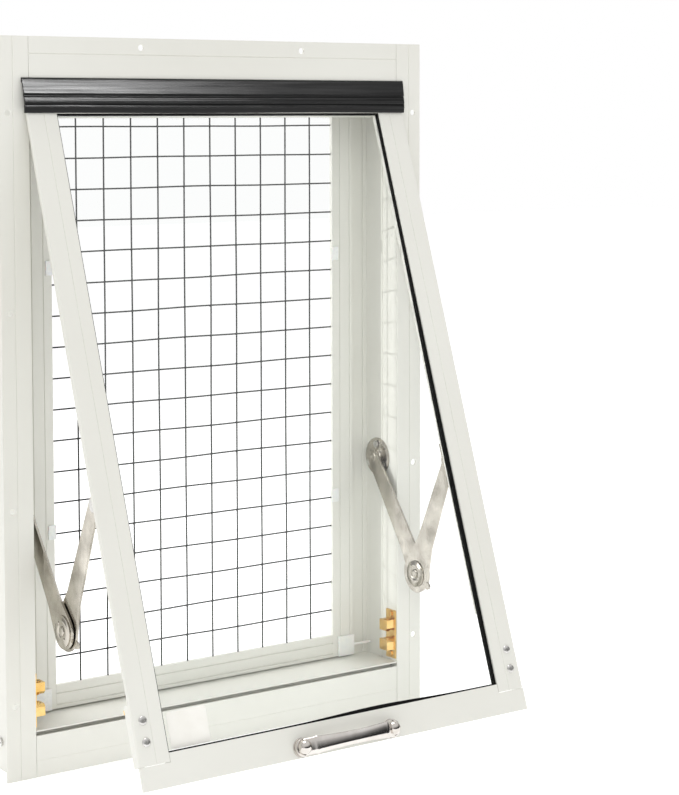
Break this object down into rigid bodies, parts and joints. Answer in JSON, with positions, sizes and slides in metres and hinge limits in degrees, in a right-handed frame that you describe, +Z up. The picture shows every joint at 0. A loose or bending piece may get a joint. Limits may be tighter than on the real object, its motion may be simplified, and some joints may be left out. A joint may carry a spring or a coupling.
{
  "type": "top-hung window sash",
  "caption": "Top-hung shed window: framed glass sash held open by folding stays over a wire guard, with weather strip, pull handle and ball catches.",
  "frame": {"origin": "middle of the frame's screw holes, on the wall side of the nailing fin", "axes": "+X to the right seen from outdoors, +Y into the wall, +Z up; the sash is drawn held open"},
  "size_m": [0.406, 0.2378, 0.584],
  "materials": {
    "frame_paint": "cream powder coat, satin",
    "guard_wire": "semi-gloss",
    "white_plastic": "matte",
    "strip_rubber": "semi-gloss",
    "gasket_rubber": "matte",
    "window_glass": "clear",
    "label_film": "semi-gloss",
    "polished_chrome": "polished",
    "fastener_steel": "zinc plated",
    "stay_steel": "brushed",
    "catch_brass": "brass plated"
  },
  "bodies": {
    "frame": {"frame_left_stile": "frame_paint", "frame_right_stile": "frame_paint", "frame_head": "frame_paint", "frame_sill": "frame_paint", "frame_screws": "fastener_steel", "guard_left_bar": "frame_paint", "guard_right_bar": "frame_paint", "guard_top_bar": "frame_paint", "guard_bottom_bar": "frame_paint", "guard_wires_upright": "guard_wire", "guard_wires_cross": "guard_wire", "guard_clips": "white_plastic", "weather_strip": "strip_rubber", "pivot_pin_left": "fastener_steel", "pivot_pin_right": "fastener_steel", "pivot_washers": "white_plastic", "stay_base_left": "stay_steel", "stay_base_right": "stay_steel", "stay_screws_left": "fastener_steel", "stay_screws_right": "fastener_steel", "catch_left": "catch_brass", "catch_right": "catch_brass", "catch_screws": "catch_brass", "spring_upper_left": "fastener_steel", "spring_lower_left": "fastener_steel", "spring_upper_right": "fastener_steel", "spring_lower_right": "fastener_steel"},
    "sash": {"sash_left_stile": "frame_paint", "sash_right_stile": "frame_paint", "sash_top_rail": "frame_paint", "sash_bottom_rail": "frame_paint", "sash_corner_left": "frame_paint", "sash_corner_right": "frame_paint", "corner_rivets": "fastener_steel", "glass_pane": "window_glass", "glazing_gasket": "gasket_rubber", "blank_label": "label_film", "pull_handle": "polished_chrome", "handle_plates": "polished_chrome", "stay_bracket_left": "stay_steel", "stay_bracket_right": "stay_steel", "sash_rivet_left": "fastener_steel", "sash_rivet_right": "fastener_steel", "bracket_screws": "fastener_steel", "strike_left": "catch_brass", "strike_right": "catch_brass"},
    "left_frame_arm": {"frame_arm_left": "stay_steel", "elbow_rivet_left": "stay_steel"},
    "left_sash_arm": {"sash_arm_left": "stay_steel"},
    "left_upper_ball": {"ball_upper_left": "catch_brass"},
    "left_lower_ball": {"ball_lower_left": "catch_brass"},
    "right_frame_arm": {"frame_arm_right": "stay_steel", "elbow_rivet_right": "stay_steel"},
    "right_sash_arm": {"sash_arm_right": "stay_steel"},
    "right_upper_ball": {"ball_upper_right": "catch_brass"},
    "right_lower_ball": {"ball_lower_right": "catch_brass"}
  },
  "joints": [
    {"name": "sash_hinge", "type": "hinge", "parent": "frame", "child": "sash", "pos_m": [0, 0.0035, 0.234], "axis": [-1, 0, 0], "range_deg": [-18.5, 2.5]},
    {"name": "left_stay_pivot", "type": "hinge", "parent": "frame", "child": "left_frame_arm", "pos_m": [-0.1724, 0.027, -0.0745], "axis": [-1, 0, 0], "range_deg": [-36.1, 5.3]},
    {"name": "left_elbow", "type": "hinge", "parent": "left_frame_arm", "child": "left_sash_arm", "pos_m": [-0.1696, -0.03998, -0.16736], "axis": [-1, 0, 0], "range_deg": [-7.6, 53.3]},
    {"name": "right_stay_pivot", "type": "hinge", "parent": "frame", "child": "right_frame_arm", "pos_m": [0.1724, 0.027, -0.0745], "axis": [-1, 0, 0], "range_deg": [-36.1, 5.3]},
    {"name": "right_elbow", "type": "hinge", "parent": "right_frame_arm", "child": "right_sash_arm", "pos_m": [0.1696, -0.03998, -0.16736], "axis": [-1, 0, 0], "range_deg": [-7.6, 53.3]},
    {"name": "left_upper_ball", "type": "slide", "parent": "frame", "child": "left_upper_ball", "axis": [0, 0, 1], "range_m": [0, 0.0015], "stiffness_N_per_m": 1200, "springref_m": -0.001, "deforming": ["spring_upper_left"]},
    {"name": "left_lower_ball", "type": "slide", "parent": "frame", "child": "left_lower_ball", "axis": [0, 0, -1], "range_m": [0, 0.0015], "stiffness_N_per_m": 1200, "springref_m": -0.001, "deforming": ["spring_lower_left"]},
    {"name": "right_upper_ball", "type": "slide", "parent": "frame", "child": "right_upper_ball", "axis": [0, 0, 1], "range_m": [0, 0.0015], "stiffness_N_per_m": 1200, "springref_m": -0.001, "deforming": ["spring_upper_right"]},
    {"name": "right_lower_ball", "type": "slide", "parent": "frame", "child": "right_lower_ball", "axis": [0, 0, -1], "range_m": [0, 0.0015], "stiffness_N_per_m": 1200, "springref_m": -0.001, "deforming": ["spring_lower_right"]}
  ],
  "couplings": [
    {"joint": "left_stay_pivot", "follows": "sash_hinge", "ratio": 1.9235},
    {"joint": "left_elbow", "follows": "sash_hinge", "ratio": -2.8541},
    {"joint": "right_stay_pivot", "follows": "sash_hinge", "ratio": 1.9235},
    {"joint": "right_elbow", "follows": "sash_hinge", "ratio": -2.8541}
  ]
}
